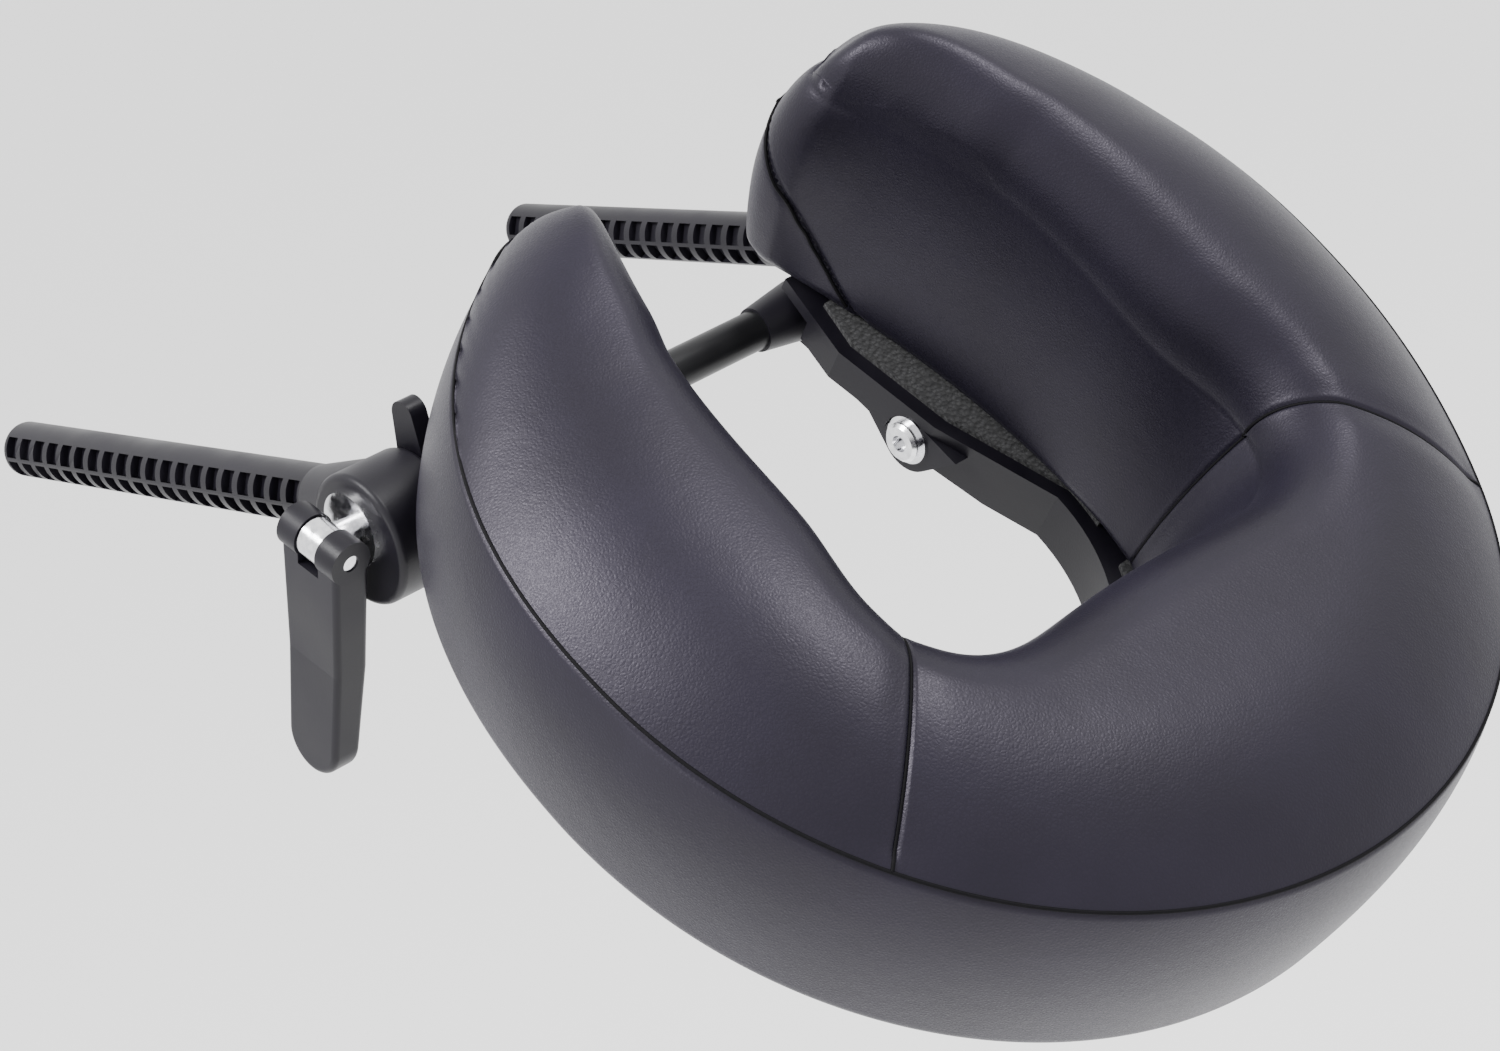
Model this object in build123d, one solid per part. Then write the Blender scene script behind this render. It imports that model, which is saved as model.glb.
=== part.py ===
"""Adjustable face cradle: a U-shaped cushion on a tilting platform, carried by two table posts.

Frame: X runs across the cradle along the crossbar, +Y points to the massage table, +Z is up.
The origin is midway between the two posts, on their common axis height.
"""
import os
from math import cos, radians, sin

from build123d import *

# ---- posts and hub housings ----
POST_SPACING = 210.0
POST_R = 8.75
POST_TIP_Y = 199.5
POST_TIP_FILLET = 2.5
NECK_LENGTH = 30.0
NECK_R = 13.5
HUB_R = 19.5
HUB_INNER_X = 95.0
HUB_OUTER_X = 117.0
HUB_CENTRE_Z = -6.0
HUB_EDGE_FILLET = 2.0
POCKET_COUNT = 20
POCKET_PITCH = 8.4
POCKET_FIRST_Y = 33.7
POCKET_LENGTH = 5.6
POCKET_DEPTH = 2.8
POCKET_HEIGHT = 6.6
POCKET_ROW_ANGLE = 26.5

# ---- crossbar and clamp ----
PIVOT_Z = -2.0
CROSSBAR_R = 6.15
CROSSBAR_BORE_R = 4.08
CROSSBAR_END_X = 112.5
RUNNING_GAP = 0.05
CLAMP_ROD_R = 4.0
CLAMP_ROD_END_X = 127.0
WASHER_R = 11.0
WASHER_THICKNESS = 1.5
NUT_ACROSS_FLATS = 13.0
NUT_HEIGHT = 6.5

# ---- height lever ----
LEVER_LEAN = 25.0
LEVER_HEAD_X = -127.5
LEVER_HEAD_R = 6.6
LEVER_WIDTH = 24.0
LEVER_TIP_R = 10.5
LEVER_LENGTH = 79.0
LEVER_INNER_X = -121.0
LEVER_OUTER_X = -133.0
LEVER_TIP_THINNING = 3.0
LEVER_BELLY = 1.0
LEVER_EDGE_FILLET = 1.8
LEVER_SLOT = 8.8
LEVER_PIN_R = 2.5
ROD_EYE_R = 6.0
ROD_EYE_WIDTH = 8.0

# ---- tilt lever ----
TILT_LEVER_OUTER_X = -94.0
TILT_LEVER_INNER_X = -88.5
TILT_LEVER_RING_R = 10.0
TILT_LEVER_REACH = 24.0
TILT_LEVER_TIP_R = 4.5
TILT_LEVER_ANGLE = 7.0

# ---- platform, measured in its own tilted frame: X, v up the slope to the table, w normal ----
TILT = 42.7
BASE_W = 14.7
TAPE_THICKNESS = 1.5
PLATE_THICKNESS = 4.0
SKIRT_THICKNESS = 2.6
OUTER_SKIRT_DEPTH = 7.0
INNER_SKIRT_SHALLOW = 3.0
INNER_SKIRT_DEEP = 14.0
SKIRT_FULL_V = -85.0
SKIRT_START_V = -12.5
RIB_THICKNESS = 2.2
RIB_DEPTH = 5.0
RIB_ANGLES = (-52.0, -26.0, 0.0, 26.0, 52.0)
LUG_INNER_X = 47.0
LUG_OUTER_X = 53.0
LUG_R = 10.5
BOLT_V = -58.0
BOLT_W = 1.7
BOLT_R = 4.0
BOLT_HEAD_R = 6.2
BOLT_HEAD_HEIGHT = 3.0
BOLT_SOCKET_R = 2.6
BOLT_WASHER_R = 7.6
BOLT_WASHER_THICKNESS = 0.8
LOCKNUT_R = 6.6
LOCKNUT_HEIGHT = 5.0
LINK_INNER_X = 53.6
LINK_OUTER_X = 61.6
LINK_PIVOT_R = 9.5
LINK_BOLT_R = 7.0
COLLAR_START_X = 36.0
COLLAR_START_R = 7.0
OUTER_COLLAR_X = 82.0
OUTER_COLLAR_R = 9.0

OUTER_TIP = (68.0, 2.0)
OUTER_SHOULDER = (92.0, -48.0)
OUTER_SIDE = (114.0, -118.0)
OUTER_HEEL = (92.0, -188.0)
OUTER_END_V = -230.0
INNER_TIP = (46.0, 2.0)
INNER_WAIST = (41.0, -28.0)
INNER_LUG = (47.5, -64.0)
INNER_BOWL = (63.0, -102.0)
INNER_END_V = -163.0
TAPE_MARGIN = 5.0

# ---- cushion, its wall square to the plane of the top seam ----
CUSHION_CENTRE_V = -110.0
CUSHION_R = 143.0
TIP_CORNER_R = 17.0
TOP_ROUND_R = 15.0
OPENING_CENTRE_V = -100.0
OPENING_R = 65.0
OPENING_TANGENT_ANGLE = 11.9
OPENING_MOUTH = (31.0, 60.0)
SEAM_TILT = 3.7
SEAM_HEIGHT_AT_ORIGIN = 52.0
CROWN = 23.0
CLOTH_THICKNESS = 1.5
CLOTH_INSET = 2.0
CLEAR = 400.0
COVER_THICKNESS = 3.0
BAND_REACH = 10.0
BAND_INNER_END_V = -18.0
PANEL_SEAM_INNER = (56.0, -119.0)
PANEL_SEAM_OUTER = (136.0, -183.0)

PLATE_TOP_W = BASE_W - TAPE_THICKNESS
PLATE_FOOT_W = PLATE_TOP_W - PLATE_THICKNESS
PLATFORM_FRAME = Plane(
    origin=(0, 0, 0),
    x_dir=(1, 0, 0),
    z_dir=(0, -sin(radians(TILT)), cos(radians(TILT))),
)
PIVOT_V = PIVOT_Z * sin(radians(TILT))
PIVOT_W = PIVOT_Z * cos(radians(TILT))


def seated(shape):
    """Carry a shape built in the flat platform frame to its tilted place."""
    return PLATFORM_FRAME.location * shape


def x_cylinder(radius, x_from, x_to, y=0.0, z=0.0):
    """Cylinder lying along X between two stations."""
    return Pos((x_from + x_to) / 2, y, z) * Rot(Y=90) * Cylinder(radius, abs(x_to - x_from))


def x_cone(radius_from, radius_to, x_from, x_to, y=0.0, z=0.0):
    """Cone lying along X, x_from < x_to."""
    return Pos((x_from + x_to) / 2, y, z) * Rot(Y=90) * Cone(radius_from, radius_to, x_to - x_from)


def x_plate(sketch, x_from, x_to):
    """Extrude a sketch drawn in (Y, Z) along X between two stations."""
    plane = Plane(origin=(min(x_from, x_to), 0, 0), x_dir=(0, 1, 0), z_dir=(1, 0, 0))
    return extrude(plane * sketch, abs(x_to - x_from))


def flip_x(shape):
    """Mirror a right-hand part into the left-hand one."""
    return mirror(shape, about=Plane.YZ)


def other_side(point):
    """The same plan point on the left-hand side."""
    return (-point[0], point[1])


def both_sides(edge_points):
    """Right-hand edges given as point tuples, with their mirror images, as lines and arcs."""
    edges = []
    for points in edge_points:
        for run in (points, [other_side(point) for point in points]):
            edges.append(Line(*run) if len(run) == 2 else ThreePointArc(*run))
    return edges


def platform_plan(inset=0.0):
    """U-shaped plan of the tray, its mouth toward the table; inset draws it smaller all round."""
    outer_tip = (OUTER_TIP[0] - inset, OUTER_TIP[1] - inset)
    shoulder = (OUTER_SHOULDER[0] - inset, OUTER_SHOULDER[1])
    side = (OUTER_SIDE[0] - inset, OUTER_SIDE[1])
    heel = (OUTER_HEEL[0] - inset, OUTER_HEEL[1] + inset)
    inner_tip = (INNER_TIP[0] + inset, INNER_TIP[1] - inset)
    waist = (INNER_WAIST[0] + inset, INNER_WAIST[1])
    lug = (INNER_LUG[0] + inset, INNER_LUG[1])
    bowl = (INNER_BOWL[0] + inset, INNER_BOWL[1])
    edges = both_sides([
        [outer_tip, shoulder],
        [shoulder, side, heel],
        [outer_tip, inner_tip],
        [inner_tip, waist],
        [waist, lug],
        [lug, bowl],
    ])
    heel_arc = ThreePointArc(heel, (0, OUTER_END_V + inset), other_side(heel))
    bowl_arc = ThreePointArc(bowl, (0, INNER_END_V - inset), other_side(bowl))
    return make_face([*edges, heel_arc, bowl_arc])


def slab(face, w_from, w_to):
    """Extrude a face of the platform plan between two heights."""
    return extrude(Pos(0, 0, w_from) * face, w_to - w_from, dir=(0, 0, 1))


# ---------------------------------------------------------------- posts and housings
def post_housing():
    """Right-hand moulding: ribbed post, flared neck and round hub with the crossbar bore."""
    x = POST_SPACING / 2
    post = Pos(x, POST_TIP_Y / 2, 0) * Rot(X=90) * Cylinder(POST_R, POST_TIP_Y)
    tip_edge = post.edges().filter_by(GeomType.CIRCLE).sort_by(Axis.Y)[-1]
    post = fillet(tip_edge, POST_TIP_FILLET)
    neck = Pos(x, NECK_LENGTH / 2, 0) * Rot(X=-90) * Cone(NECK_R, POST_R, NECK_LENGTH)
    hub = x_cylinder(HUB_R, HUB_INNER_X, HUB_OUTER_X, 0, HUB_CENTRE_Z)
    hub = fillet(hub.edges().filter_by(GeomType.CIRCLE), HUB_EDGE_FILLET)
    hub_width = HUB_OUTER_X - HUB_INNER_X
    neck_limit = Pos((HUB_INNER_X + HUB_OUTER_X) / 2, 0, 0) * Box(hub_width, 4 * NECK_LENGTH, 4 * NECK_R)
    body = post + (neck & neck_limit) + hub
    pocket = Pos(POST_R, 0, 0) * Box(2 * POCKET_DEPTH, POCKET_LENGTH, POCKET_HEIGHT)
    pockets = []
    for face_angle in (0, 180):
        for row_angle in (-POCKET_ROW_ANGLE, POCKET_ROW_ANGLE):
            for index in range(POCKET_COUNT):
                y = POCKET_FIRST_Y + index * POCKET_PITCH
                pockets.append(Pos(x, y, 0) * Rot(Y=face_angle + row_angle) * pocket)
    body = body - pockets
    crossbar_bore = x_cylinder(CROSSBAR_R + RUNNING_GAP, HUB_INNER_X - 1, CROSSBAR_END_X + 0.5, 0, PIVOT_Z)
    rod_bore = x_cylinder(CLAMP_ROD_R, HUB_INNER_X, HUB_OUTER_X + 1, 0, PIVOT_Z)
    return body - crossbar_bore - rod_bore


# ---------------------------------------------------------------- clamp and levers
def crossbar():
    tube = x_cylinder(CROSSBAR_R, -CROSSBAR_END_X, CROSSBAR_END_X, 0, PIVOT_Z)
    return tube - x_cylinder(CROSSBAR_BORE_R, -CROSSBAR_END_X - 1, CROSSBAR_END_X + 1, 0, PIVOT_Z)


def lean(shape):
    """Turn a part built with its lever straight down to the lever's leaning rest angle."""
    return Pos(0, 0, PIVOT_Z) * Rot(X=LEVER_LEAN) * shape


def clamp_rod():
    """Draw rod through the crossbar with a flat eye at the lever end."""
    rod = x_cylinder(CLAMP_ROD_R, LEVER_HEAD_X + ROD_EYE_R / 2, CLAMP_ROD_END_X)
    eye = Pos(LEVER_HEAD_X, 0, 0) * Rot(X=90) * Cylinder(ROD_EYE_R, ROD_EYE_WIDTH)
    hole = Pos(LEVER_HEAD_X, 0, 0) * Rot(X=90) * Cylinder(LEVER_PIN_R + RUNNING_GAP, 4 * ROD_EYE_WIDTH)
    return lean(rod + eye - hole)


def washer(x_from, x_to):
    ring = x_cylinder(WASHER_R, x_from, x_to, 0, PIVOT_Z)
    return ring - x_cylinder(CLAMP_ROD_R, x_from - 1, x_to + 1, 0, PIVOT_Z)


def clamp_nut():
    start = HUB_OUTER_X + WASHER_THICKNESS
    hexagon = Pos(0, PIVOT_Z) * RegularPolygon(NUT_ACROSS_FLATS / 2, 6, major_radius=False)
    nut = x_plate(hexagon, start, start + NUT_HEIGHT)
    return nut - x_cylinder(CLAMP_ROD_R, start - 1, start + NUT_HEIGHT + 1, 0, PIVOT_Z)


def height_lever():
    """Forked cam lever hanging beside the left hub."""
    tip_z = -LEVER_LENGTH + LEVER_TIP_R
    side = make_face(Polyline(
        (LEVER_INNER_X, 0),
        (LEVER_INNER_X, -LEVER_LENGTH / 2),
        (LEVER_INNER_X - LEVER_TIP_THINNING, -LEVER_LENGTH),
        (LEVER_OUTER_X, -LEVER_LENGTH),
        (LEVER_OUTER_X + LEVER_BELLY, -LEVER_LENGTH / 2),
        (LEVER_OUTER_X, 0),
        close=True,
    ))
    side_plane = Plane(origin=(0, LEVER_WIDTH, 0), x_dir=(1, 0, 0), z_dir=(0, -1, 0))
    front = make_hull([
        Line((-LEVER_WIDTH / 2, 0), (LEVER_WIDTH / 2, 0)),
        *(Pos(0, tip_z) * Circle(LEVER_TIP_R)).edges(),
    ])
    front_plane = Plane(origin=(LEVER_OUTER_X - LEVER_TIP_R, 0, 0), x_dir=(0, 1, 0), z_dir=(1, 0, 0))
    front_depth = LEVER_INNER_X - LEVER_OUTER_X + 2 * LEVER_TIP_R
    blade = extrude(side_plane * side, 2 * LEVER_WIDTH) & extrude(front_plane * front, front_depth)
    below_head = blade.edges().filter_by(lambda edge: edge.center().Z < -LEVER_HEAD_R)
    blade = fillet(below_head.filter_by(lambda edge: abs(edge.tangent_at(0.5).X) < 0.5), LEVER_EDGE_FILLET)
    head = Pos(LEVER_HEAD_X, 0, 0) * Rot(X=90) * Cylinder(LEVER_HEAD_R, LEVER_WIDTH)
    slot = Pos(LEVER_HEAD_X, 0, 1) * Box(4 * LEVER_HEAD_R, LEVER_SLOT, 2 * ROD_EYE_R + 4)
    pin_hole = Pos(LEVER_HEAD_X, 0, 0) * Rot(X=90) * Cylinder(LEVER_PIN_R, 2 * LEVER_WIDTH)
    return lean(blade + head - slot - pin_hole)


def lever_pin():
    return lean(Pos(LEVER_HEAD_X, 0, 0) * Rot(X=90) * Cylinder(LEVER_PIN_R, LEVER_WIDTH - 1))


def tilt_lever():
    """Thumb lever: a ring running on the crossbar with an upright teardrop tab."""
    tab = make_hull([
        *Circle(0.7 * TILT_LEVER_RING_R).edges(),
        *(Pos(0, TILT_LEVER_REACH) * Circle(TILT_LEVER_TIP_R)).edges(),
    ])
    profile = Pos(0, PIVOT_Z) * Rot(Z=TILT_LEVER_ANGLE) * (Circle(TILT_LEVER_RING_R) + tab)
    body = x_plate(profile, TILT_LEVER_OUTER_X, TILT_LEVER_INNER_X)
    bore = x_cylinder(CROSSBAR_R + RUNNING_GAP, TILT_LEVER_OUTER_X - 1, TILT_LEVER_INNER_X + 1, 0, PIVOT_Z)
    return body - bore


# ---------------------------------------------------------------- link arms and pivot bolts
def link_arm():
    """Right-hand link from the crossbar to the platform lug, with its flared collar."""
    profile = make_hull([
        *(Pos(PIVOT_V, PIVOT_W) * Circle(LINK_PIVOT_R)).edges(),
        *(Pos(BOLT_V, BOLT_W) * Circle(LINK_BOLT_R)).edges(),
    ])
    plate = x_plate(profile, LINK_INNER_X, LINK_OUTER_X)
    flare = x_cone(COLLAR_START_R, LINK_PIVOT_R, COLLAR_START_X, LINK_INNER_X, PIVOT_V, PIVOT_W)
    sleeve = x_cylinder(OUTER_COLLAR_R, LINK_OUTER_X, OUTER_COLLAR_X, PIVOT_V, PIVOT_W)
    bar_hole = x_cylinder(CROSSBAR_R, COLLAR_START_X - 1, OUTER_COLLAR_X + 1, PIVOT_V, PIVOT_W)
    bolt_hole = x_cylinder(BOLT_R + RUNNING_GAP, LINK_INNER_X - 1, LINK_OUTER_X + 1, BOLT_V, BOLT_W)
    return plate + flare + sleeve - bar_hole - bolt_hole


def pivot_bolt():
    """Button-head bolt with a round socket, head on the inboard face of the lug."""
    head_x = LUG_INNER_X - BOLT_WASHER_THICKNESS
    tip_x = LINK_OUTER_X + BOLT_WASHER_THICKNESS + LOCKNUT_HEIGHT + 1
    shank = x_cylinder(BOLT_R, head_x, tip_x, BOLT_V, BOLT_W)
    head = x_cylinder(BOLT_HEAD_R, head_x - BOLT_HEAD_HEIGHT, head_x, BOLT_V, BOLT_W)
    head = chamfer(head.edges().filter_by(GeomType.CIRCLE).sort_by(Axis.X)[0], 1.0)
    socket = x_cylinder(BOLT_SOCKET_R, head_x - BOLT_HEAD_HEIGHT - 1, head_x - 0.4, BOLT_V, BOLT_W)
    return shank + head - socket


def bolt_washer():
    ring = x_cylinder(BOLT_WASHER_R, LUG_INNER_X - BOLT_WASHER_THICKNESS, LUG_INNER_X, BOLT_V, BOLT_W)
    return ring - x_cylinder(BOLT_R, LUG_INNER_X - 2, LUG_INNER_X + 1, BOLT_V, BOLT_W)


def locknut():
    start = LINK_OUTER_X + 0.5
    hexagon = Pos(BOLT_V, BOLT_W) * RegularPolygon(LOCKNUT_R, 6)
    nut = x_plate(hexagon, start, start + LOCKNUT_HEIGHT)
    return nut - x_cylinder(BOLT_R, start - 1, start + LOCKNUT_HEIGHT + 1, BOLT_V, BOLT_W)


# ---------------------------------------------------------------- platform
def platform_tray():
    """U-shaped plate with edge skirts, underside ribs and two pivot lugs."""
    plan = platform_plan()
    plate = slab(plan, PLATE_FOOT_W, PLATE_TOP_W)
    field = platform_plan(SKIRT_THICKNESS)
    edge_ring = plan - field
    skirt_zone = Pos(0, SKIRT_START_V - CLEAR / 2, 0) * Box(CLEAR, CLEAR, CLEAR)
    outer_skirt = slab(edge_ring, PLATE_FOOT_W - OUTER_SKIRT_DEPTH, PLATE_FOOT_W)
    inner_skirt = slab(edge_ring, PLATE_FOOT_W - INNER_SKIRT_DEEP, PLATE_FOOT_W)
    reach = 2 * SKIRT_THICKNESS
    inner_zone = make_face([
        Line((INNER_TIP[0] + reach, 40), (INNER_TIP[0] + reach, INNER_LUG[1])),
        Line((INNER_TIP[0] + reach, INNER_LUG[1]), (INNER_BOWL[0] + reach, INNER_BOWL[1])),
        ThreePointArc(
            (INNER_BOWL[0] + reach, INNER_BOWL[1]),
            (0, INNER_END_V - reach),
            (-INNER_BOWL[0] - reach, INNER_BOWL[1]),
        ),
        Line((-INNER_BOWL[0] - reach, INNER_BOWL[1]), (-INNER_TIP[0] - reach, INNER_LUG[1])),
        Line((-INNER_TIP[0] - reach, INNER_LUG[1]), (-INNER_TIP[0] - reach, 40)),
        Line((-INNER_TIP[0] - reach, 40), (INNER_TIP[0] + reach, 40)),
    ])
    inner_skirt = inner_skirt & slab(inner_zone, -CLEAR, CLEAR)
    slope = make_face(Polyline(
        (SKIRT_START_V, PLATE_FOOT_W - INNER_SKIRT_SHALLOW),
        (SKIRT_FULL_V, PLATE_FOOT_W - INNER_SKIRT_DEEP),
        (-CLEAR, PLATE_FOOT_W - INNER_SKIRT_DEEP),
        (-CLEAR, PLATE_FOOT_W),
        (SKIRT_START_V, PLATE_FOOT_W),
        close=True,
    ))
    inner_skirt = inner_skirt & x_plate(slope, -CLEAR, CLEAR)
    skirts = (outer_skirt + inner_skirt) & skirt_zone
    rib_stock = []
    for angle in RIB_ANGLES:
        rib = Pos(0, -CUSHION_R / 2, 0) * Box(RIB_THICKNESS, CUSHION_R, CLEAR)
        rib_stock.append(Pos(0, CUSHION_CENTRE_V, 0) * Rot(Z=angle) * rib)
    rib_field = slab(field, PLATE_FOOT_W - RIB_DEPTH, PLATE_FOOT_W)
    ribs = [rib_field & stock for stock in rib_stock]
    lug_profile = make_hull([
        *(Pos(BOLT_V, BOLT_W) * Circle(LUG_R)).edges(),
        Line((BOLT_V - 18, PLATE_FOOT_W + 0.5), (BOLT_V + 40, PLATE_FOOT_W + 0.5)),
    ])
    under_plate = Pos(0, BOLT_V, PLATE_FOOT_W - CLEAR / 2) * Box(CLEAR, CLEAR, CLEAR)
    lug = x_plate(lug_profile, LUG_INNER_X, LUG_OUTER_X) & under_plate
    lug_keep_out = x_cylinder(LINK_BOLT_R + 2.5, LUG_OUTER_X, LINK_OUTER_X + 1, BOLT_V, BOLT_W)
    bolt_hole = x_cylinder(BOLT_R, LUG_INNER_X - 5, LUG_OUTER_X + 5, BOLT_V, BOLT_W)
    washer_seat = x_cylinder(BOLT_WASHER_R + 0.4, LUG_INNER_X - 8, LUG_INNER_X, BOLT_V, BOLT_W)
    cuts = [bolt_hole, flip_x(bolt_hole), washer_seat, flip_x(washer_seat)]
    below_plate_cuts = [(lug_keep_out & under_plate), (flip_x(lug_keep_out) & under_plate)]
    tray = plate + skirts
    for rib in ribs:
        tray = tray + rib
    tray = tray - below_plate_cuts + lug + flip_x(lug)
    return tray - cuts


def hook_tapes():
    """Three patches of hook tape on the tray: right arm, left arm and closed end."""
    field = platform_plan(TAPE_MARGIN)
    tape = slab(field, PLATE_TOP_W, BASE_W)
    right = tape & (Pos(100, -64, 0) * Box(180, 104, 60))
    head = tape & (Pos(0, -190, 0) * Box(300, 120, 60))
    return right, flip_x(right), head


# ---------------------------------------------------------------- cushion
def seam_frame():
    """Plane of the top seam, seen in the platform frame."""
    return Plane(
        origin=(0, 0, BASE_W + SEAM_HEIGHT_AT_ORIGIN),
        x_dir=(1, 0, 0),
        z_dir=(0, sin(radians(SEAM_TILT)), cos(radians(SEAM_TILT))),
    )


def opening_plan(growth=0.0):
    """Face opening: a round bowl with straight sides closing in toward the mouth."""
    angle = radians(OPENING_TANGENT_ANGLE)
    radius = OPENING_R + growth
    side = (radius * cos(angle), OPENING_CENTRE_V + radius * sin(angle))
    mouth = (OPENING_MOUTH[0] + growth * cos(angle), OPENING_MOUTH[1] + growth * sin(angle))
    bowl = ThreePointArc(side, (0, OPENING_CENTRE_V - radius), other_side(side))
    edges = both_sides([[side, mouth]])
    return make_face([*edges, bowl, Line(mouth, other_side(mouth))])


def cushion_plan(inset=0.0):
    """C-shaped plan of the cushion with rounded arm tips."""
    plan = Pos(0, CUSHION_CENTRE_V) * Circle(CUSHION_R - inset) - opening_plan(inset)
    corners = plan.vertices().sort_by(Axis.Y)[-2:]
    return fillet(corners, TIP_CORNER_R - inset)


def cushion_block(inset, foot_w):
    """Rounded block standing on the loop cloth; inset makes the smaller foam core."""
    block = slab(cushion_plan(inset), -2 * SEAM_HEIGHT_AT_ORIGIN, CROWN - inset)
    top = block.faces().sort_by(Axis.Z)[-1]
    block = fillet(top.edges(), TOP_ROUND_R - inset)
    trim = Pos(0, 0, foot_w + CLEAR / 2) * Box(2 * CLEAR, 2 * CLEAR, CLEAR)
    return (seam_frame().location * block) & trim


def cushion_parts():
    """Foam core, loop base cloth, boxing band and the three top panels."""
    foot = BASE_W + CLOTH_THICKNESS
    body = cushion_block(0.0, foot)
    core = cushion_block(COVER_THICKNESS, foot)
    cover = body - core
    frame = seam_frame().location
    above_seam = frame * (Pos(0, 0, CLEAR) * Box(2 * CLEAR, 2 * CLEAR, 2 * CLEAR))
    inner_zone = frame * slab(opening_plan(BAND_REACH), -CLEAR, CLEAR)
    inner_limit = Pos(0, BAND_INNER_END_V - CLEAR / 2, 0) * Box(CLEAR, CLEAR, 2 * CLEAR)
    panel_zone = above_seam + (inner_zone & inner_limit)
    band = cover - panel_zone
    panels = cover & panel_zone
    wedge = slab(
        make_face(Polyline(
            other_side(PANEL_SEAM_INNER),
            other_side(PANEL_SEAM_OUTER),
            (-CLEAR, -CLEAR),
            (CLEAR, -CLEAR),
            PANEL_SEAM_OUTER,
            PANEL_SEAM_INNER,
            (0, OPENING_CENTRE_V),
            close=True,
        )),
        -CLEAR,
        CLEAR,
    )
    head_panel = panels & wedge
    arms = panels - wedge
    right_half = Pos(CLEAR, 0, 0) * Box(2 * CLEAR, 2 * CLEAR, 2 * CLEAR)
    right_panel = arms & right_half
    left_panel = arms - right_half
    cloth_layer = Pos(0, 0, BASE_W + CLOTH_THICKNESS / 2) * Box(2 * CLEAR, 2 * CLEAR, CLOTH_THICKNESS)
    cloth = (frame * slab(cushion_plan(CLOTH_INSET), -CLEAR, 0)) & cloth_layer
    return core, cloth, band, left_panel, right_panel, head_panel


os.makedirs("parts", exist_ok=True)
right_post = post_housing()
right_link = seated(link_arm())
right_bolt = seated(pivot_bolt())
right_washer = seated(bolt_washer())
right_nut = seated(locknut())
right_tape, left_tape, head_tape = hook_tapes()
foam, base_cloth, band, panel_left, panel_right, panel_head = cushion_parts()

nodes = {
    "left_post_housing": flip_x(right_post),
    "right_post_housing": right_post,
    "crossbar": crossbar(),
    "clamp_rod": clamp_rod(),
    "left_clamp_washer": washer(-HUB_OUTER_X - WASHER_THICKNESS, -HUB_OUTER_X),
    "right_clamp_washer": washer(HUB_OUTER_X, HUB_OUTER_X + WASHER_THICKNESS),
    "clamp_nut": clamp_nut(),
    "height_lever": height_lever(),
    "height_lever_pin": lever_pin(),
    "tilt_lever": tilt_lever(),
    "left_link_arm": flip_x(right_link),
    "right_link_arm": right_link,
    "left_pivot_bolt": flip_x(right_bolt),
    "right_pivot_bolt": right_bolt,
    "left_bolt_washer": flip_x(right_washer),
    "right_bolt_washer": right_washer,
    "left_pivot_locknut": flip_x(right_nut),
    "right_pivot_locknut": right_nut,
    "platform_tray": seated(platform_tray()),
    "right_hook_tape": seated(right_tape),
    "left_hook_tape": seated(left_tape),
    "head_hook_tape": seated(head_tape),
    "cushion_foam": seated(foam),
    "cushion_base_cloth": seated(base_cloth),
    "cushion_boxing_band": seated(band),
    "cushion_left_panel": seated(panel_left),
    "cushion_right_panel": seated(panel_right),
    "cushion_head_panel": seated(panel_head),
}
for name, shape in nodes.items():
    export_step(shape, f"parts/{name}.step")
    print(name, len(shape.solids()), round(shape.volume, 1), shape.is_valid)
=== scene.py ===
"""Face cradle: looks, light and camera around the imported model, in metres."""
from bisect import bisect_left
from math import cos, exp, hypot, pi, radians, sin, tan

import bpy
from mathutils import Matrix, Vector


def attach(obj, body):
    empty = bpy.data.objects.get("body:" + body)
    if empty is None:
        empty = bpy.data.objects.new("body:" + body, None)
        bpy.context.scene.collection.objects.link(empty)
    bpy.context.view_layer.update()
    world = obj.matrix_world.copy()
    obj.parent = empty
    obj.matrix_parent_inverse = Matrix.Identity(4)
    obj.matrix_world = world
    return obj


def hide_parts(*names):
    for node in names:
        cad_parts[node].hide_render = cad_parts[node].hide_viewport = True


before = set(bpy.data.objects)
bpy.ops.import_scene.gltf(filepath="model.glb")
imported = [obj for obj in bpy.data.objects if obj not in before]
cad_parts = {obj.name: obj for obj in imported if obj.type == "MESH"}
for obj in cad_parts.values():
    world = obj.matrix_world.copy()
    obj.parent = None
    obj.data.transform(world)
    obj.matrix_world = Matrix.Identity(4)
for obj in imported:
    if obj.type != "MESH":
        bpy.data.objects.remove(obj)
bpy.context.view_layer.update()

# Cushion sizes in millimetres, in the platform's own frame: X across, v up the slope, w square to it.
MM = 0.001
TILT = radians(42.7)
BASE_W = 14.7
SEAM_TILT = radians(3.7)
SEAM_AT_ORIGIN = 52.0

# outer outline
CENTRE_V = -110.5
OUTER_R = 141.5
UPPER_B = 142.5
UPPER_P = 2.18
CORNER_START_X = 68.0
CORNER_BUNCHING = 1.7

# opening
OPENING_V = -100.0
BOWL_X = 64.0
BOWL_V = 54.0
BOWL_P = 3.2
SIDE_P = 1.9
MOUTH = (41.0, 8.0)
FLARE_CORNER = 12.0
FLARE_ALL_ROUND = 2.0

# how the two outlines meet in a blunt tip
TIP_LEAVE = (16.0, 7.2)
TIP_ARRIVE = (2.5, 14.0)
TIP_STEPS = 40

# height of the crown over the seam, and of each arm over the closed end
CROWN_END = 19.0
CROWN_SIDE = 25.0
CROWN_TIP = 29.0
RISE_LEFT = -2.0
RISE_RIGHT = 19.0

# rounding from the walls into the top
INNER_ROUND = 22.0
OUTER_ROUND = 54.0
TIP_ROUND = 22.0
TIP_OUTER_ROUND = TIP_ROUND * 1.5
CORNER_BLEND_P = 2.2

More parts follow.
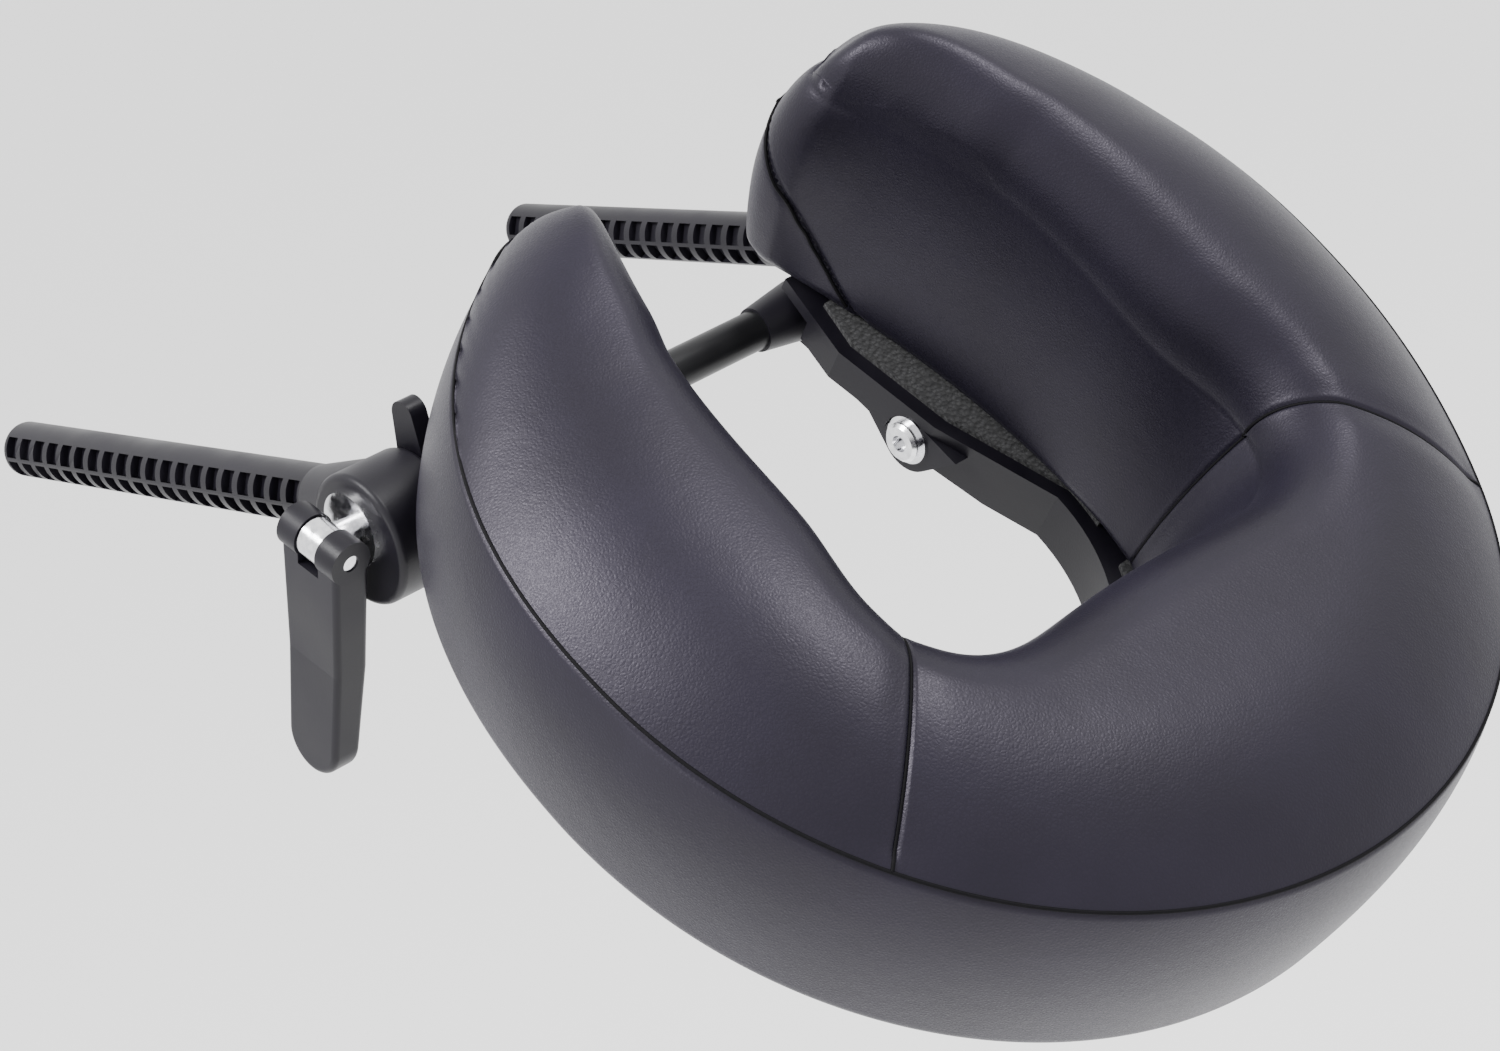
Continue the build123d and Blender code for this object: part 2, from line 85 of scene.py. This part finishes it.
# walls
FOOT_LIFT = 1.6
FOOT_TUCK = 1.6
WALL_LEAN = 0.5
WALL_BULGE = 3.6
INNER_BULGE = 2.0
RIGHT_TIP_SWELL = 0.9
LEFT_TIP_SWELL = -0.5

# sewn seams
SEAM_LEFT = 0.348
SEAM_RIGHT = 0.352
SEAM_DIP = 1.4
SEAM_PROUD = 1.3
SEAM_SMOOTHING = 4
# radius of the near-black seam cord, whose colour is painted shade of the seam groove
SEAM_SHADE_CORD_R = 0.55
TIP_SEAM_H = 52.0
TIP_SEAM_OUTER_REACH = 34.0
TIP_SEAM_INNER_REACH = 52.0
TIP_SEAM_DEPTH = 1.2
TIP_SEAM_WIDTH = 1.1
HALF_OUTLINE = 390.0  # turns a fraction of the outline into millimetres at the panel seams
GROOVE_DEPTH = 1.1
GROOVE_WIDTH = 1.0
PULL_DEPTH = 1.0
PULL_WIDTH = 7.0

# grid
TOP_ROWS = 64
WALL_ROWS = 50
STATIONS_A_SIDE = 250
SEAM_STATION_STEP = 0.0012
SEAM_STATIONS = 12
APEX_REACH = 0.004


# ---------------------------------------------------------------- frames
def to_world(x, v, w):
    """Platform frame (X, v up the slope, w square to it, mm) to the part's frame in metres."""
    return Vector((x, v * cos(TILT) - w * sin(TILT), v * sin(TILT) + w * cos(TILT))) * MM


def smooth(a, b, value):
    """Smooth step from 0 at a to 1 at b."""
    t = min(max((value - a) / (b - a), 0.0), 1.0)
    return t * t * (3 - 2 * t)


# ---------------------------------------------------------------- materials
def new_material(name):
    material = bpy.data.materials.new(name)
    material.use_nodes = True
    nodes = material.node_tree.nodes
    links = material.node_tree.links
    return material, nodes, links, nodes["Principled BSDF"]


def noise(nodes, links, coords, scale, detail=4.0, rough=0.5):
    node = nodes.new("ShaderNodeTexNoise")
    node.inputs["Scale"].default_value = scale
    node.inputs["Detail"].default_value = detail
    node.inputs["Roughness"].default_value = rough
    links.new(coords.outputs["Object"], node.inputs["Vector"])
    return node


def ramp(nodes, links, source, low, high, low_at=0.35, high_at=0.65):
    node = nodes.new("ShaderNodeValToRGB")
    node.color_ramp.elements[0].position = low_at
    node.color_ramp.elements[0].color = (*low, 1)
    node.color_ramp.elements[1].position = high_at
    node.color_ramp.elements[1].color = (*high, 1)
    links.new(source, node.inputs["Fac"])
    return node


def leather_material():
    material, nodes, links, shader = new_material("leatherette")
    coords = nodes.new("ShaderNodeTexCoord")
    cells = nodes.new("ShaderNodeTexVoronoi")
    cells.feature = "DISTANCE_TO_EDGE"
    cells.inputs["Scale"].default_value = 900
    links.new(coords.outputs["Object"], cells.inputs["Vector"])
    fine = noise(nodes, links, coords, 2600, 3.0)
    broad = noise(nodes, links, coords, 22, 3.0)
    tone = ramp(nodes, links, broad.outputs["Fac"], (0.0036, 0.0029, 0.0062), (0.0056, 0.0046, 0.0094))
    pores = ramp(nodes, links, cells.outputs["Distance"], (0.55, 0.55, 0.55), (1, 1, 1), 0.0, 0.10)
    mix = nodes.new("ShaderNodeMix")
    mix.data_type = "RGBA"
    mix.blend_type = "MULTIPLY"
    mix.inputs["Factor"].default_value = 0.45
    links.new(tone.outputs["Color"], mix.inputs[6])
    links.new(pores.outputs["Color"], mix.inputs[7])
    links.new(mix.outputs[2], shader.inputs["Base Color"])
    rough = ramp(nodes, links, fine.outputs["Fac"], (0.36, 0.36, 0.36), (0.50, 0.50, 0.50))
    links.new(rough.outputs["Color"], shader.inputs["Roughness"])
    bump = nodes.new("ShaderNodeBump")
    bump.inputs["Strength"].default_value = 0.22
    bump.inputs["Distance"].default_value = 0.00035
    links.new(cells.outputs["Distance"], bump.inputs["Height"])
    second = nodes.new("ShaderNodeBump")
    second.inputs["Strength"].default_value = 0.25
    second.inputs["Distance"].default_value = 0.0008
    wrinkle = noise(nodes, links, coords, 60, 5.0, 0.6)
    links.new(wrinkle.outputs["Fac"], second.inputs["Height"])
    links.new(bump.outputs["Normal"], second.inputs["Normal"])
    links.new(second.outputs["Normal"], shader.inputs["Normal"])
    shader.inputs["Specular IOR Level"].default_value = 0.22
    shader.inputs["Specular Tint"].default_value = (0.92, 0.86, 1.0, 1)
    shader.inputs["Sheen Weight"].default_value = 0.015
    shader.inputs["Sheen Tint"].default_value = (0.72, 0.68, 0.9, 1)
    return material


def plastic_material(name, tone_low, tone_high, rough_mid):
    material, nodes, links, shader = new_material(name)
    coords = nodes.new("ShaderNodeTexCoord")
    spark = noise(nodes, links, coords, 1500, 4.0)
    broad = noise(nodes, links, coords, 35, 4.0)
    tone = ramp(nodes, links, broad.outputs["Fac"], tone_low, tone_high)
    links.new(tone.outputs["Color"], shader.inputs["Base Color"])
    low = (rough_mid - 0.06,) * 3
    high = (rough_mid + 0.08,) * 3
    rough = ramp(nodes, links, broad.outputs["Fac"], low, high)
    links.new(rough.outputs["Color"], shader.inputs["Roughness"])
    bump = nodes.new("ShaderNodeBump")
    bump.inputs["Strength"].default_value = 0.15
    bump.inputs["Distance"].default_value = 0.0002
    links.new(spark.outputs["Fac"], bump.inputs["Height"])
    links.new(bump.outputs["Normal"], shader.inputs["Normal"])
    shader.inputs["Specular IOR Level"].default_value = 0.20
    return material


def metal_material():
    material, nodes, links, shader = new_material("bright_plating")
    coords = nodes.new("ShaderNodeTexCoord")
    scuff = noise(nodes, links, coords, 400, 6.0)
    tone = ramp(nodes, links, scuff.outputs["Fac"], (0.62, 0.62, 0.64), (0.80, 0.80, 0.82))
    rough = ramp(nodes, links, scuff.outputs["Fac"], (0.12, 0.12, 0.12), (0.28, 0.28, 0.28))
    links.new(tone.outputs["Color"], shader.inputs["Base Color"])
    links.new(rough.outputs["Color"], shader.inputs["Roughness"])
    shader.inputs["Metallic"].default_value = 1.0
    return material


def tape_material():
    material, nodes, links, shader = new_material("hook_tape")
    coords = nodes.new("ShaderNodeTexCoord")
    hooks = nodes.new("ShaderNodeTexVoronoi")
    hooks.inputs["Scale"].default_value = 700
    links.new(coords.outputs["Object"], hooks.inputs["Vector"])
    hook_tone = (0.020, 0.020, 0.022)
    gap_tone = (0.004, 0.004, 0.005)
    tone = ramp(nodes, links, hooks.outputs["Distance"], hook_tone, gap_tone, 0.1, 0.6)
    links.new(tone.outputs["Color"], shader.inputs["Base Color"])
    bump = nodes.new("ShaderNodeBump")
    bump.inputs["Strength"].default_value = 0.8
    bump.inputs["Distance"].default_value = 0.0006
    links.new(hooks.outputs["Distance"], bump.inputs["Height"])
    links.new(bump.outputs["Normal"], shader.inputs["Normal"])
    shader.inputs["Roughness"].default_value = 0.85
    shader.inputs["Sheen Weight"].default_value = 0.15
    return material


def cloth_material():
    material, nodes, links, shader = new_material("loop_cloth")
    coords = nodes.new("ShaderNodeTexCoord")
    fuzz = noise(nodes, links, coords, 1800, 6.0, 0.7)
    tone = ramp(nodes, links, fuzz.outputs["Fac"], (0.008, 0.008, 0.009), (0.030, 0.029, 0.033))
    links.new(tone.outputs["Color"], shader.inputs["Base Color"])
    bump = nodes.new("ShaderNodeBump")
    bump.inputs["Strength"].default_value = 0.7
    bump.inputs["Distance"].default_value = 0.0007
    links.new(fuzz.outputs["Fac"], bump.inputs["Height"])
    links.new(bump.outputs["Normal"], shader.inputs["Normal"])
    shader.inputs["Roughness"].default_value = 0.9
    shader.inputs["Sheen Weight"].default_value = 0.3
    return material


# near-black seam cord: the seam is real, but its colour is painted shade, the dark line of the seam groove
def seam_shade_cord_material():
    material, nodes, links, shader = new_material("seam_cord_painted_shade")
    coords = nodes.new("ShaderNodeTexCoord")
    twist = noise(nodes, links, coords, 1200, 4.0)
    # painted shade: far darker than the leatherette, so the cord reads as the groove's shadow line
    tone = ramp(nodes, links, twist.outputs["Fac"], (0.0006, 0.0005, 0.0010), (0.0016, 0.0013, 0.0022))
    links.new(tone.outputs["Color"], shader.inputs["Base Color"])
    shader.inputs["Roughness"].default_value = 0.7
    shader.inputs["Specular IOR Level"].default_value = 0.1
    return material


leather = leather_material()
seam_shade_cord_finish = seam_shade_cord_material()
plastic = plastic_material("moulded_plastic", (0.0034, 0.0029, 0.0050), (0.0062, 0.0054, 0.0085), 0.40)
bar_paint = plastic_material("bar_paint", (0.0035, 0.0035, 0.004), (0.007, 0.007, 0.008), 0.34)
metal = metal_material()
tape = tape_material()
cloth = cloth_material()

FINISH = {
    "left_post_housing": plastic, "right_post_housing": plastic,
    "left_link_arm": plastic, "right_link_arm": plastic,
    "platform_tray": plastic, "height_lever": plastic, "tilt_lever": plastic,
    "crossbar": bar_paint,
    "clamp_rod": metal, "clamp_nut": metal, "left_clamp_washer": metal, "right_clamp_washer": metal,
    "height_lever_pin": metal, "left_pivot_bolt": metal, "right_pivot_bolt": metal,
    "left_bolt_washer": metal, "right_bolt_washer": metal,
    "left_pivot_locknut": metal, "right_pivot_locknut": metal,
    "right_hook_tape": tape, "left_hook_tape": tape, "head_hook_tape": tape,
}
for node_name, material in FINISH.items():
    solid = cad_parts[node_name]
    for slot_entry in solid.material_slots:
        slot_entry.material = material


# ---------------------------------------------------------------- cushion plan
def outer_points():
    """Right half of the outer outline: round closed end, fuller upper part, round tip corner."""
    points = []
    for k in range(181):
        a = radians(-90 + k / 2)
        points.append((OUTER_R * cos(a), CENTRE_V + OUTER_R * sin(a)))
    for k in range(1, 161):
        a = k / 160
        x = OUTER_R - (OUTER_R - CORNER_START_X) * a ** CORNER_BUNCHING
        points.append((x, CENTRE_V + UPPER_B * (1 - (x / OUTER_R) ** UPPER_P) ** (1 / UPPER_P)))
    return points


def inner_points():
    """Right half of the opening: square-cornered bowl, then a side closing in toward the mouth."""
    points = []
    for k in range(161):
        a = radians(-90 + 90 * k / 160)
        size = (abs(cos(a)) ** BOWL_P + abs(sin(a)) ** BOWL_P) ** (1 / BOWL_P)
        points.append((BOWL_X * cos(a) / size, OPENING_V + BOWL_V * sin(a) / size))
    for k in range(1, 121):
        v = OPENING_V + (MOUTH[1] - OPENING_V) * k / 120
        narrow = ((v - OPENING_V) / (MOUTH[1] - OPENING_V)) ** SIDE_P
        points.append((BOWL_X - (BOWL_X - MOUTH[0]) * narrow, v))
    return points


def bezier(t, run):
    """Point at t on the cubic curve with the four given control points."""
    p0, p1, p2, p3 = run
    m = 1 - t
    return tuple(
        m ** 3 * p0[i] + 3 * m * m * t * p1[i] + 3 * m * t * t * p2[i] + t ** 3 * p3[i]
        for i in (0, 1)
    )


class Trace:
    """Polyline with its running length, read by fraction."""

    def __init__(self, points):
        self.points = points
        self.length = [0.0]
        for p, q in zip(points, points[1:]):
            self.length.append(self.length[-1] + hypot(q[0] - p[0], q[1] - p[1]))

    def at(self, fraction):
        s = min(max(fraction, 0.0), 1.0) * self.length[-1]
        k = min(max(bisect_left(self.length, s) - 1, 0), len(self.points) - 2)
        p, q = self.points[k], self.points[k + 1]
        t = (s - self.length[k]) / max(self.length[k + 1] - self.length[k], 1e-9)
        return p[0] + (q[0] - p[0]) * t, p[1] + (q[1] - p[1]) * t

    def normal(self, fraction, sign):
        a = self.at(fraction - 0.004)
        b = self.at(fraction + 0.004)
        size = max(hypot(b[0] - a[0], b[1] - a[1]), 1e-9)
        return sign * (b[1] - a[1]) / size, -sign * (b[0] - a[0]) / size


outer_run = outer_points()
inner_run = inner_points()
start = outer_run[-1]
leave = (start[0] - TIP_LEAVE[0], start[1] + TIP_LEAVE[1])
arrive = (MOUTH[0] - TIP_ARRIVE[0], MOUTH[1] + TIP_ARRIVE[1])
corner = (start, leave, arrive, MOUTH)
half_steps = range(1, TIP_STEPS + 1)
OUTER = Trace(outer_run + [bezier(k / (2 * TIP_STEPS), corner) for k in half_steps])
INNER = Trace(inner_run + [bezier(1 - k / (2 * TIP_STEPS), corner) for k in half_steps])
APEX_A = OUTER.normal(1 - APEX_REACH, 1)
APEX_B = INNER.normal(1 - APEX_REACH, -1)
APEX = ((APEX_A[0] + APEX_B[0]) / 2, (APEX_A[1] + APEX_B[1]) / 2)


def edge(trace, fraction, sign):
    """Point and outward normal, the normals of both outlines meeting at the tip's apex."""
    x, v = trace.at(fraction)
    n = trace.normal(fraction, sign)
    w = smooth(0.965, 1.0, fraction)
    n = (n[0] + (APEX[0] - n[0]) * w, n[1] + (APEX[1] - n[1]) * w)
    size = hypot(*n)
    return x, v, n[0] / size, n[1] / size


def inner_fraction(f):
    """Where across the opening a section ends, drawn back so that the panel seams reach the corners."""
    return f - 0.06 * sin(pi * f)


def flare(fraction):
    """How far the opening's rim stands outside its foot."""
    tip = smooth(0.62, 0.97, fraction)
    corner_swell = exp(-((fraction - 0.27) / 0.12) ** 2)
    return (FLARE_CORNER * corner_swell + FLARE_ALL_ROUND) * (1 - tip)


def stations():
    """Fractions from the left tip (-1) to the right tip (1), closer together at the panel seams."""
    values = set()
    for i in range(-STATIONS_A_SIDE, STATIONS_A_SIDE + 1):
        values.add(round(i / STATIONS_A_SIDE, 5))
    for k in range(-SEAM_STATIONS, SEAM_STATIONS + 1):
        values.add(round(-SEAM_LEFT + k * SEAM_STATION_STEP, 5))
        values.add(round(SEAM_RIGHT + k * SEAM_STATION_STEP, 5))
    for k in range(1, SEAM_STATIONS):
        for sign in (-1, 1):
            values.add(round(sign * (1 - APEX_REACH * k / SEAM_STATIONS), 6))
    return sorted(values)


TIP_OUTER = [OUTER.at(0.72 + 0.28 * k / 80) for k in range(81)]
TIP_INNER = [INNER.at(0.60 + 0.40 * k / 80) for k in range(81)]


def nearest(points, x, v):
    """Distance to the nearest of the points."""
    return min(hypot(x - p[0], v - p[1]) for p in points)


def round_over(x, power):
    """Rise from 0 at an edge to 1; power 2 is nearly a quarter round, 1 nearly a parabola."""
    x = min(max(x, 0.0), 1.0)
    return (1 - (1 - x) ** CORNER_BLEND_P) ** (1 / power)


def wall_swell(t, bulge):
    """Outward bow of a wall at the fraction t of its height, tucked in at the foot."""
    bow = max(sin(pi * t ** 1.25), 0.0) ** 0.7
    return bulge * bow - FOOT_TUCK * (1 - smooth(0.0, 0.05, t))


def tip_groove(w, seam):
    """Depth of the band's seam groove at the height w."""
    return TIP_SEAM_DEPTH * exp(-((w - seam) / TIP_SEAM_WIDTH) ** 2)


def section(u):
    """One cross-section from the outer foot over the top to the inner foot, with the seam's height."""
    side = 1 if u >= 0 else -1
    f = abs(u)
    ox, ov, onx, onv = edge(OUTER, f, 1)
    ix, iv, inx, inv = edge(INNER, inner_fraction(f), -1)
    tipness = smooth(0.70, 0.92, f)
    panel_gap = (f - (SEAM_RIGHT if u > 0 else SEAM_LEFT)) * HALF_OUTLINE
    groove = GROOVE_DEPTH * exp(-(panel_gap / GROOVE_WIDTH) ** 2)
    groove += PULL_DEPTH * exp(-(panel_gap / PULL_WIDTH) ** 2)
    crown = CROWN_END + (CROWN_SIDE - CROWN_END) * smooth(0.2, 0.5, f) + (CROWN_TIP - CROWN_SIDE) * tipness
    rise = (RISE_RIGHT if u > 0 else RISE_LEFT) * smooth(0.35, 0.8, f)
    radius_in = INNER_ROUND + (TIP_ROUND - INNER_ROUND) * tipness
    radius_out = OUTER_ROUND + (TIP_OUTER_ROUND - OUTER_ROUND) * tipness
    power_out = 1.0 + 0.7 * tipness
    power_in = 2.0 - 0.3 * tipness
    outer_s = (1 - f) * OUTER.length[-1]
    inner_s = (1 - inner_fraction(f)) * INNER.length[-1]

    def seam_w(v):
        return BASE_W + SEAM_AT_ORIGIN - v * tan(SEAM_TILT) + rise

    def tip_seam(full):
        """Height of the band's seam round the tip, outer side and inner side."""
        outer = full - (full - BASE_W - TIP_SEAM_H) * (1 - smooth(0.0, TIP_SEAM_OUTER_REACH, outer_s))
        inner = BASE_W + TIP_SEAM_H * max(0.0, 1 - inner_s / TIP_SEAM_INNER_REACH) ** 1.2
        return outer, inner

    outer_top = seam_w(ov)
    low_outer, low_inner = tip_seam(outer_top)
    lean = WALL_LEAN * (1 - tipness)
    bulge = WALL_BULGE * (1 + (RIGHT_TIP_SWELL if u > 0 else LEFT_TIP_SWELL) * tipness)
    inner_bulge = INNER_BULGE + (bulge - INNER_BULGE) * smooth(0.86, 1.0, f)
    foot_w = BASE_W + FOOT_LIFT
    points = []
    for k in range(WALL_ROWS + 1):
        t = k / WALL_ROWS
        w = foot_w + (outer_top - foot_w) * t
        out = wall_swell(t, bulge) + lean * t ** 1.3
        if outer_s < TIP_SEAM_OUTER_REACH:
            out -= tip_groove(w, low_outer)
        points.append(("band" if w < low_outer + 0.3 else "panel", (ox + onx * out, ov + onv * out, w)))
    if outer_s >= TIP_SEAM_OUTER_REACH:
        dipped = lean - SEAM_DIP
        points[-1] = ("band", (ox + onx * dipped, ov + onv * dipped, outer_top))
    ox, ov = ox + onx * lean, ov + onv * lean
    rim = flare(inner_fraction(f))
    foot_ix, foot_iv = ix, iv
    ix, iv = ix - inx * rim, iv - inv * rim
    width = hypot(ox - ix, ov - iv)
    square_out = max(0.5, abs(((ox - ix) * onx + (ov - iv) * onv) / max(width, 0.001)))
    square_in = max(0.5, abs(((ix - ox) * inx + (iv - ov) * inv) / max(width, 0.001)))
    inner_top = seam_w(iv)
    for k in range(1, TOP_ROWS):
        q = 0.5 - 0.5 * cos(pi * k / TOP_ROWS)
        x = ox + (ix - ox) * q
        v = ov + (iv - ov) * q
        d_out = q * width * square_out
        d_in = (1 - q) * width * square_in
        if f > 0.74:
            blend = smooth(0.74, 0.80, f)
            d_out += (nearest(TIP_OUTER, x, v) - d_out) * blend
            d_in += (nearest(TIP_INNER, x, v) - d_in) * blend
        drop_out = crown * (1 - round_over(d_out / radius_out, power_out))
        drop_in = crown * (1 - round_over(d_in / radius_in, power_in))
        both = (drop_out ** CORNER_BLEND_P + drop_in ** CORNER_BLEND_P) ** (1 / CORNER_BLEND_P)
        drop = min(both, crown)
        dip = groove * smooth(0.0, 6.0, d_out)
        points.append(("panel", (x, v, seam_w(v) + crown - drop - dip)))
    for k in range(WALL_ROWS + 1):
        t = 1 - k / WALL_ROWS
        w = foot_w + (inner_top - foot_w) * t
        out = wall_swell(t, inner_bulge) - rim * t ** 1.3
        out -= groove * 0.8
        kind = "panel"
        if inner_s < TIP_SEAM_INNER_REACH:
            out -= tip_groove(w, low_inner)
            kind = "band" if w < low_inner + 0.3 else "panel"
        points.append((kind, (foot_ix + inx * out, foot_iv + inv * out, w)))
    return [(kind, (side * x, v, w)) for kind, (x, v, w) in points]


def add_mesh(name, verts, faces, material):
    mesh = bpy.data.meshes.new(name)
    mesh.from_pydata(verts, [], faces)
    mesh.validate()
    mesh.update()
    for polygon in mesh.polygons:
        polygon.use_smooth = True
    mesh.materials.append(material)
    piece = bpy.data.objects.new(name, mesh)
    bpy.context.scene.collection.objects.link(piece)
    return piece


def build_cover():
    """One grid over the whole cushion; faces are shared out to the pieces that are sewn together."""
    values = stations()
    grid = [section(u) for u in values]
    columns = len(grid[0])
    seam_row = WALL_ROWS
    verts = [to_world(*p) for ring in grid for _, p in ring]
    names = ("cushion_band", "cushion_panel_left", "cushion_panel_right", "cushion_panel_head")
    groups = {name: [] for name in names}
    for i in range(len(values) - 1):
        mid = (values[i] + values[i + 1]) / 2
        for j in range(columns - 1):
            a = i * columns + j
            face = (a, a + 1, a + columns + 1, a + columns)
            kinds = (grid[i][j][0], grid[i][j + 1][0])
            if j < seam_row and "band" in kinds or j > seam_row and kinds[1] == "band":
                groups["cushion_band"].append(face)
            elif -SEAM_LEFT < mid < SEAM_RIGHT:
                groups["cushion_panel_head"].append(face)
            elif mid < 0:
                groups["cushion_panel_left"].append(face)
            else:
                groups["cushion_panel_right"].append(face)
    pieces = {}
    for name, faces in groups.items():
        used = sorted({index for face in faces for index in face})
        where = {old: new for new, old in enumerate(used)}
        own_faces = [tuple(where[k] for k in face) for face in faces]
        pieces[name] = add_mesh(name, [verts[k] for k in used], own_faces, leather)
    feet = [(to_world(*ring[0][1]), to_world(*ring[-1][1])) for ring in grid]
    return pieces, grid, values, feet


pieces, grid, values, feet = build_cover()


def base_cloth():
    """Brushed loop cloth closing the underside, slightly bellied."""
    verts = []
    faces = []
    across = 14
    for outer, inner in feet:
        for k in range(across + 1):
            t = k / across
            point = outer.lerp(inner, t)
            belly = sin(pi * t) ** 0.5 * 1.2 * MM
            normal = Vector((0, -sin(TILT), cos(TILT)))
            verts.append(point - normal * belly)
    for i in range(len(feet) - 1):
        for k in range(across):
            a = i * (across + 1) + k
            faces.append((a, a + across + 1, a + across + 2, a + 1))
    return add_mesh("cushion_underside", verts, faces, cloth)


def cord(points, radius):
    """Thin round cord through a run of points, as vertices and faces."""
    verts = []
    faces = []
    sides = 6
    for k, point in enumerate(points):
        along = (points[min(k + 1, len(points) - 1)] - points[max(k - 1, 0)]).normalized()
        across = along.cross(Vector((0, -sin(TILT), cos(TILT))))
        if across.length < 0.05:
            across = along.cross(Vector((1, 0, 0)))
        across.normalize()
        other = along.cross(across)
        for n in range(sides):
            a = 2 * pi * n / sides
            verts.append(point + (across * cos(a) + other * sin(a)) * radius)
        if k:
            base = (k - 1) * sides
            for n in range(sides):
                m = (n + 1) % sides
                faces.append((base + n, base + m, base + sides + m, base + sides + n))
    return verts, faces


def smoothed(run):
    """The run with each point moved halfway to the middle of its neighbours."""
    last = len(run) - 1
    middles = [run[max(k - 1, 0)].lerp(run[min(k + 1, last)], 0.5) for k in range(last + 1)]
    return [middle * 0.5 + point * 0.5 for middle, point in zip(middles, run)]


def seam_lines():
    """Runs of points along the sewn seams: round the top and both tips, and across the two panels."""
    outer = []
    left_tip = []
    right_tip = []

    def proud(point, trace, fraction, sign, side):
        nx, nv = edge(trace, fraction, sign)[2:]
        return to_world(point[0] + side * nx * SEAM_PROUD, point[1] + nv * SEAM_PROUD, point[2])

    for u, ring in zip(values, grid):
        side = 1 if u >= 0 else -1
        band_rows = [k for k in range(WALL_ROWS + 1) if ring[k][0] == "band"]
        outer.append(proud(ring[band_rows[-1]][1], OUTER, abs(u), 1, side))
        inner_rows = [k for k in range(WALL_ROWS + TOP_ROWS, len(ring)) if ring[k][0] == "band"]
        if inner_rows and len(ring) - inner_rows[0] > 2:
            place = proud(ring[inner_rows[0]][1], INNER, inner_fraction(abs(u)), -1, side)
            (left_tip if u < 0 else right_tip).append(place)
    long_run = left_tip[::-1] + outer + right_tip[::-1]
    for _ in range(SEAM_SMOOTHING):
        long_run = smoothed(long_run)
    runs = [long_run]
    for place in (-SEAM_LEFT, SEAM_RIGHT):
        ring = grid[min(range(len(values)), key=lambda i: abs(values[i] - place))]
        runs.append([to_world(*point) for kind, point in ring[WALL_ROWS:-2]])
    return runs


def add_seam_shade_cords():
    """All seam cords as one piece, coloured near-black as painted shade of the seam grooves."""
    verts = []
    faces = []
    for run in seam_lines():
        run_verts, run_faces = cord(run, SEAM_SHADE_CORD_R * MM)
        faces += [tuple(len(verts) + k for k in face) for face in run_faces]
        verts += run_verts
    return add_mesh("cushion_seam_cords_painted_shade", verts, faces, seam_shade_cord_finish)


# near-black cords along the seams, painted shade of the seam grooves
seam_shade_cords = add_seam_shade_cords()
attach(seam_shade_cords, "cushion")
underside = base_cloth()
COVERS = {
    "cushion_band": "cushion_boxing_band",
    "cushion_panel_left": "cushion_left_panel",
    "cushion_panel_right": "cushion_right_panel",
}
for name, node_name in COVERS.items():
    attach(pieces[name], "cushion")
    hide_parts(node_name)
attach(pieces["cushion_panel_head"], "cushion")
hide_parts("cushion_head_panel", "cushion_foam")
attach(underside, "cushion")
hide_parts("cushion_base_cloth")

# ---------------------------------------------------------------- stage, light and camera
FLOOR_HALF = 30
FLOOR_Z = -0.9
WORLD_STRENGTH = 1.9
LIGHT_TARGET = (0, -0.1, 0)
CAMERA_PLACE = (-0.5697, -0.7531, 0.2672)
CAMERA_RIGHT = (0.7161, -0.6576, -0.2338)
CAMERA_BACK = (-0.5812, -0.7474, 0.3220)
SENSOR_WIDTH = 36.0
FOCAL_LENGTH = 80.3

corners = ((-1, -1), (1, -1), (1, 1), (-1, 1))
floor_mesh = bpy.data.meshes.new("floor")
floor_verts = [(x * FLOOR_HALF, y * FLOOR_HALF, FLOOR_Z) for x, y in corners]
floor_mesh.from_pydata(floor_verts, [], [(0, 1, 2, 3)])
floor = bpy.data.objects.new("floor", floor_mesh)
bpy.context.scene.collection.objects.link(floor)
floor_material, nodes, links, shader = new_material("pale_floor")
shader.inputs["Base Color"].default_value = (0.92, 0.92, 0.92, 1)
shader.inputs["Roughness"].default_value = 0.9
floor.data.materials.append(floor_material)

world = bpy.data.worlds.new("studio")
bpy.context.scene.world = world
world.use_nodes = True
world.node_tree.nodes["Background"].inputs["Color"].default_value = (1, 1, 1, 1)
world.node_tree.nodes["Background"].inputs["Strength"].default_value = WORLD_STRENGTH


def area_light(name, place, size, power):
    """Square area light, size in metres and power in watts, aimed at the object."""
    data = bpy.data.lights.new(name, "AREA")
    data.shape = "SQUARE"
    data.size = size
    data.energy = power
    lamp = bpy.data.objects.new(name, data)
    lamp.location = place
    lamp.rotation_euler = (Vector(LIGHT_TARGET) - Vector(place)).to_track_quat("-Z", "Y").to_euler()
    bpy.context.scene.collection.objects.link(lamp)


area_light("key", (-1.0, 0.2, 1.2), 0.5, 44)
area_light("top_box", (0.5, -0.9, 1.5), 0.5, 34)
area_light("left_wall", (-1.5, 0.1, 0.0), 0.4, 6)

camera_data = bpy.data.cameras.new("camera")
camera_data.sensor_width = SENSOR_WIDTH
camera_data.lens = FOCAL_LENGTH
camera = bpy.data.objects.new("camera", camera_data)
right = Vector(CAMERA_RIGHT)
back = Vector(CAMERA_BACK).normalized()
up = back.cross(right).normalized()
right = up.cross(back)
turn = Matrix((right, up, back)).transposed().to_4x4()
camera.matrix_world = Matrix.Translation(CAMERA_PLACE) @ turn
bpy.context.scene.collection.objects.link(camera)
bpy.context.scene.camera = camera
